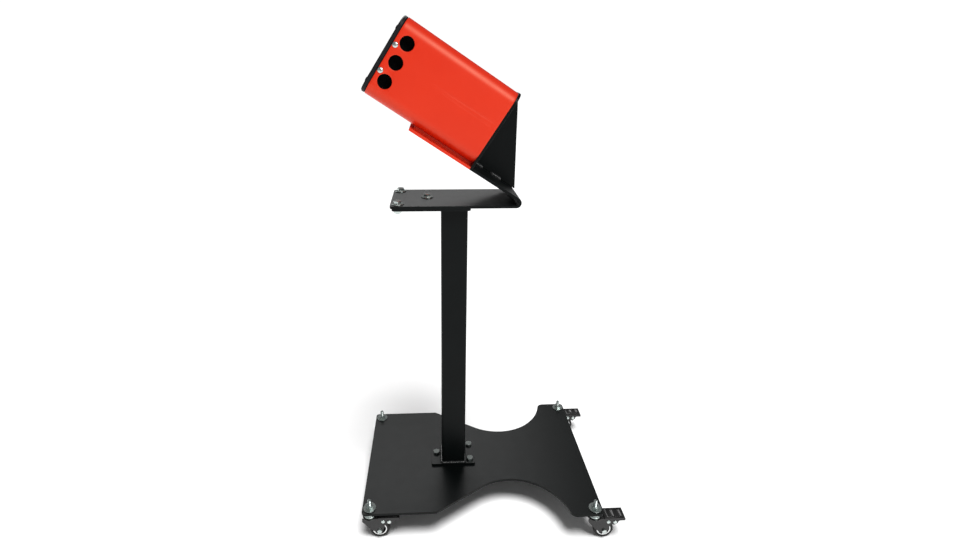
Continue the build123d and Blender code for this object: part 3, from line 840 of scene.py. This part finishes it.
def axle(tag, centre):
    """Hex-headed axle bolt with its nut and thread end."""
    bm = bmesh.new()
    cheek, head = 13.3 * MM, 4.5 * MM
    lathe(bm, [(0, -cheek), (3 * MM, -cheek), (3 * MM, cheek), (0, cheek)], facing(centre, Y_AXIS), 32)
    hexagonal(bm, facing(centre + Y_AXIS * cheek, Y_AXIS, 10), 10 * MM, head)
    hexagonal(bm, facing(centre - Y_AXIS * cheek, -Y_AXIS, 18), 10 * MM, head - 0.8 * MM, 2.9 * MM)
    threaded(bm, facing(centre - Y_AXIS * cheek, -Y_AXIS), 2.9 * MM, head, 1.0 * MM, 0.5 * MM, 24)
    finish_piece("axle_" + tag + "_bolt", bm, "swivel_" + tag, "zinc_steel", 30.0, ("axle_" + tag,))


def wheel(tag, centre):
    """Tyre with rounded shoulders and a moulding line, ribbed hub and bright rings."""
    body, across = "wheel_" + tag, facing(centre, Y_AXIS)
    low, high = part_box("tyre_" + tag)
    outer, half, bead_r = (high.z - low.z) / 2, (high.y - low.y) / 2, 18 * MM
    tread = [(bead_r, -half + 1.2 * MM), (bead_r + 0.8 * MM, -half + 0.3 * MM), (bead_r + 1.6 * MM, -half)]
    shoulder = 3.2 * MM
    for i in range(9):
        angle = math.radians(-90 + 90 * i / 8)
        tread.append((outer - 0.35 * MM - shoulder + shoulder * math.cos(angle),
                      -half + shoulder + shoulder * math.sin(angle)))
    tread += [(outer - 0.12 * MM, -2.4 * MM), (outer, -0.5 * MM)]
    profile = tread + [(r, -y) for r, y in reversed(tread)]
    bm = bmesh.new()
    lathe(bm, profile, across, 120)
    finish_piece("tyre_" + tag + "_moulded", bm, body, "tyre_rubber", 50.0, ("tyre_" + tag,))

    bm = bmesh.new()
    lathe(bm, [(3.05 * MM, -11 * MM), (5.4 * MM, -11 * MM), (6 * MM, -10.4 * MM), (6 * MM, -3 * MM),
               (14.5 * MM, -2.4 * MM), (14.5 * MM, -7.2 * MM), (14.8 * MM, -7.5 * MM), (16 * MM, -5 * MM),
               (18 * MM, -5 * MM), (18 * MM, 5 * MM), (16 * MM, 5 * MM), (14.8 * MM, 7.5 * MM),
               (14.5 * MM, 7.2 * MM), (14.5 * MM, 2.4 * MM), (6 * MM, 3 * MM), (6 * MM, 10.4 * MM),
               (5.4 * MM, 11 * MM), (3.05 * MM, 11 * MM)], across, 72)
    rib_count = 6
    for i in range(rib_count):
        turned = across @ Matrix.Rotation(math.tau * i / rib_count, 4, "Z")
        block(bm, (5.6 * MM, -0.9 * MM, -6.6 * MM), (14.7 * MM, 0.9 * MM, 6.6 * MM), turned, 0.3 * MM)
    finish_piece("hub_" + tag + "_ribbed", bm, body, "black_plastic", 35.0, ("hub_" + tag,))

    bm = bmesh.new()
    for side in (-1, 1):
        ring = [(14.5 * MM, 5 * MM), (18 * MM, 5 * MM), (18 * MM, 8.3 * MM), (17.5 * MM, 9.0 * MM),
                (16.6 * MM, 9.3 * MM), (15.6 * MM, 9.2 * MM), (14.8 * MM, 8.7 * MM), (14.5 * MM, 7.9 * MM)]
        lathe(bm, ring, facing(centre, Y_AXIS * side), 96)
    finish_piece("rings_" + tag + "_spun", bm, body, "chrome_ring", 40.0, ("wheel_rings_" + tag,))


def pedal(tag, pivot):
    """Brake pedal with rounded edges and a raised tread that leaves two pockets."""
    softened("pedal_" + tag, 0.8 * MM, 3)
    tread_z = PLATE_LOW - 11 * MM
    bm = bmesh.new()
    block(bm, (28 * MM, -13.6 * MM, -0.5 * MM), (69 * MM, 13.6 * MM, 1.6 * MM),
          Matrix.Translation((pivot.x, pivot.y, tread_z)), 0.7 * MM, 3)
    pad = finish_piece("pedal_tread_" + tag, bm, "brake_" + tag, "caster_black", 35.0)
    for start, end in ((31, 47), (50, 66)):
        cutter = bmesh.new()
        block(cutter, (start * MM, -10.6 * MM, 0.2 * MM), (end * MM, 10.6 * MM, 3 * MM),
              Matrix.Translation((pivot.x, pivot.y, tread_z)), 0.6 * MM, 2)
        cut_with(pad, cutter)


stems()
for tag in TAGS:
    pivot = joint_at("swivel_turn_" + tag)
    axle_centre = joint_at("wheel_spin_" + tag)
    pedal_pin = joint_at("brake_press_" + tag)
    cheek_rivet = pedal_pin + Vector((-15.5 * MM, 0, -1.5 * MM))
    softened("fork_" + tag, 0.5 * MM, 3)
    ball_race(tag, pivot)
    rivets(tag, cheek_rivet, pedal_pin)
    axle(tag, axle_centre)
    wheel(tag, axle_centre)
    pedal(tag, pivot)


# ---------------------------------------------------------------- camera
camera_data = bpy.data.cameras.new("camera")
camera_data.sensor_width = 36.0
focal_share = 0.5113                 # focal length over image width
camera_data.lens = focal_share * camera_data.sensor_width
camera_data.shift_x = 0.0322
camera_data.shift_y = -0.0556
camera_data.clip_start, camera_data.clip_end = 0.05, 60
camera = bpy.data.objects.new("camera", camera_data)
scene.collection.objects.link(camera)
yaw, pitch, roll = 0.05298, 0.29291, 0.00643
camera.location = (-0.14676, -1.16268, 1.12833)
turned = Matrix.Rotation(-yaw, 4, "Z")
tilted = Matrix.Rotation(math.pi / 2 - pitch, 4, "X")
aim = turned @ tilted @ Matrix.Rotation(roll, 4, "Z")
camera.matrix_world = Matrix.Translation(camera.location) @ aim
scene.camera = camera


# ---------------------------------------------------------------- floor, world and lights
def floor():
    """The pale stage that the casters stand on."""
    bm = bmesh.new()
    bmesh.ops.create_grid(bm, x_segments=24, y_segments=24, size=9.0)
    mesh = bpy.data.meshes.new("floor")
    bm.to_mesh(mesh)
    bm.free()
    ground = bpy.data.objects.new("floor", mesh)
    scene.collection.objects.link(ground)
    look = Look("pale_floor")
    look.set(Base_Color=look.ramp(look.noise(3, 3), ((0.3, (0.86, 0.86, 0.86)), (0.7, (0.89, 0.89, 0.89)))),
             Roughness=look.spread(look.noise(20, 3), 0.75, 0.9), Specular_IOR_Level=0.1)
    mesh.materials.append(look.material)


def soft_world():
    """A dim even fill that the camera sees as a plain white backdrop."""
    fill_strength, backdrop_strength = 0.24, 1.05
    world = bpy.data.worlds.new("studio")
    scene.world = world
    world.use_nodes = True
    tree = world.node_tree
    background = tree.nodes["Background"]
    background.inputs["Color"].default_value = (1, 1, 1, 1)
    background.inputs["Strength"].default_value = fill_strength
    white = tree.nodes.new("ShaderNodeBackground")
    white.inputs["Color"].default_value = (1, 1, 1, 1)
    white.inputs["Strength"].default_value = backdrop_strength
    path = tree.nodes.new("ShaderNodeLightPath")
    mix = tree.nodes.new("ShaderNodeMixShader")
    tree.links.new(path.outputs["Is Camera Ray"], mix.inputs["Fac"])
    tree.links.new(background.outputs["Background"], mix.inputs[1])
    tree.links.new(white.outputs["Background"], mix.inputs[2])
    tree.links.new(mix.outputs["Shader"], tree.nodes["World Output"].inputs["Surface"])


def light_only(lamp, state, names=("floor",)):
    """Limits a lamp to the named objects (INCLUDE) or to everything but them (EXCLUDE)."""
    receivers = bpy.data.collections.new(lamp.name + "_receivers")
    for name in names:
        receivers.objects.link(bpy.data.objects[name])
    for member in receivers.collection_objects:
        member.light_linking.link_state = state
    lamp.light_linking.receiver_collection = receivers


def floor_sun():
    """A soft high sun from the front right, for the floor alone: it keeps the floor near white."""
    sun_power, sun_angle = 4.1, 26
    data = bpy.data.lights.new("floor_sun", "SUN")
    data.energy = sun_power
    data.angle = math.radians(sun_angle)
    lamp = bpy.data.objects.new("floor_sun", data)
    scene.collection.objects.link(lamp)
    lamp.location = (0.6, -0.4, 4.0)
    lamp.rotation_mode = "QUATERNION"
    lamp.rotation_quaternion = Vector((-0.13, 0.28, -1.0)).to_track_quat("-Z", "Y")
    light_only(lamp, "INCLUDE")


def softbox(name, place, target, side, power, unlit=("floor",)):
    """A square studio light that leaves the floor to the sun, and more pieces where they are named."""
    data = bpy.data.lights.new(name, "AREA")
    data.shape = "SQUARE"
    data.size = side
    data.energy = power
    lamp = bpy.data.objects.new(name, data)
    scene.collection.objects.link(lamp)
    lamp.location = place
    lamp.visible_camera = False
    lamp.rotation_mode = "QUATERNION"
    lamp.rotation_quaternion = (Vector(target) - Vector(place)).to_track_quat("-Z", "Y")
    light_only(lamp, "EXCLUDE", unlit)


floor()
soft_world()
softbox("front_right", (1.15, -2.1, 2.7), (-0.15, 0, 1.1), 1.5, 72)
# the light behind would flare on the red housing and the plated steel, so they don't get it
flaring = (LOOKS["red_coat"], LOOKS["zinc_steel"])
bright_pieces = [piece.name for piece in bpy.data.objects
                 if piece.type == "MESH" and piece.data.materials and piece.data.materials[0] in flaring]
softbox("behind_left", (-0.35, 2.2, 3.0), (-0.1, 0, 0.1), 2.6, 100, ["floor"] + bright_pieces)
floor_sun()
scene.view_settings.view_transform = "Standard"
scene.view_settings.look = "None"
